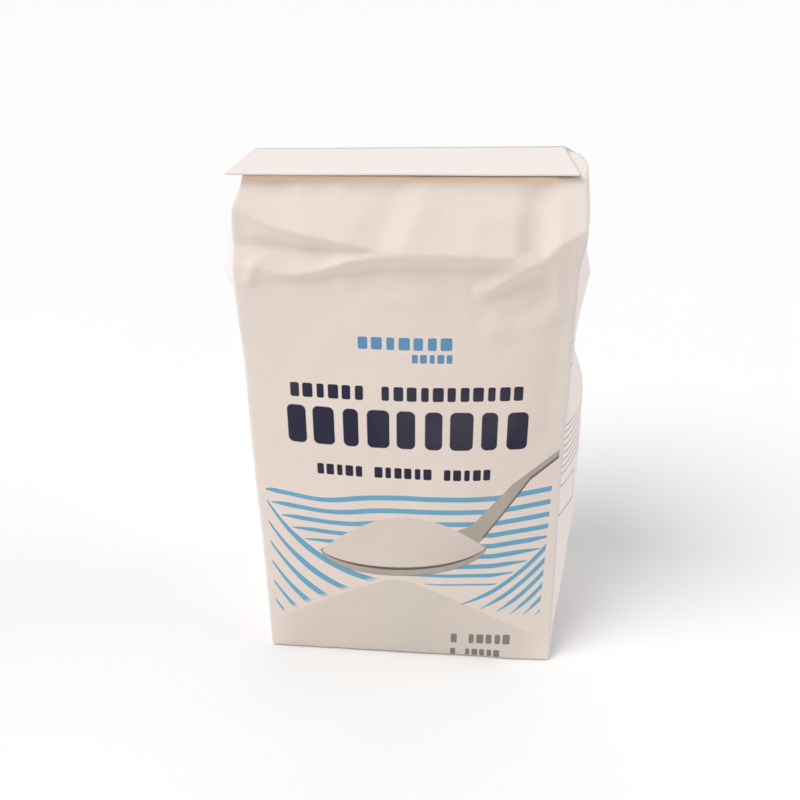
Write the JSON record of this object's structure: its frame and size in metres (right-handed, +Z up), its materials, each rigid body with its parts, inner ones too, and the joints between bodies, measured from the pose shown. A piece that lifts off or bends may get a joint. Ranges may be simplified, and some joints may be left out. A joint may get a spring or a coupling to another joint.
{
  "type": "sugar packet",
  "caption": "Full upright paper packet of white sugar with a flat base, creased corners and a folded flat fin closing the top.",
  "frame": {"origin": "on the base, under the middle of the packet's bounding box", "axes": "+Z up from the base, -Y out of the printed front, +X to the right as seen from the front"},
  "size_m": [0.1128, 0.072, 0.1727],
  "materials": {
    "printed_paper": "matte"
  },
  "bodies": {
    "root": {"paper_packet": "printed_paper"}
  },
  "joints": []
}
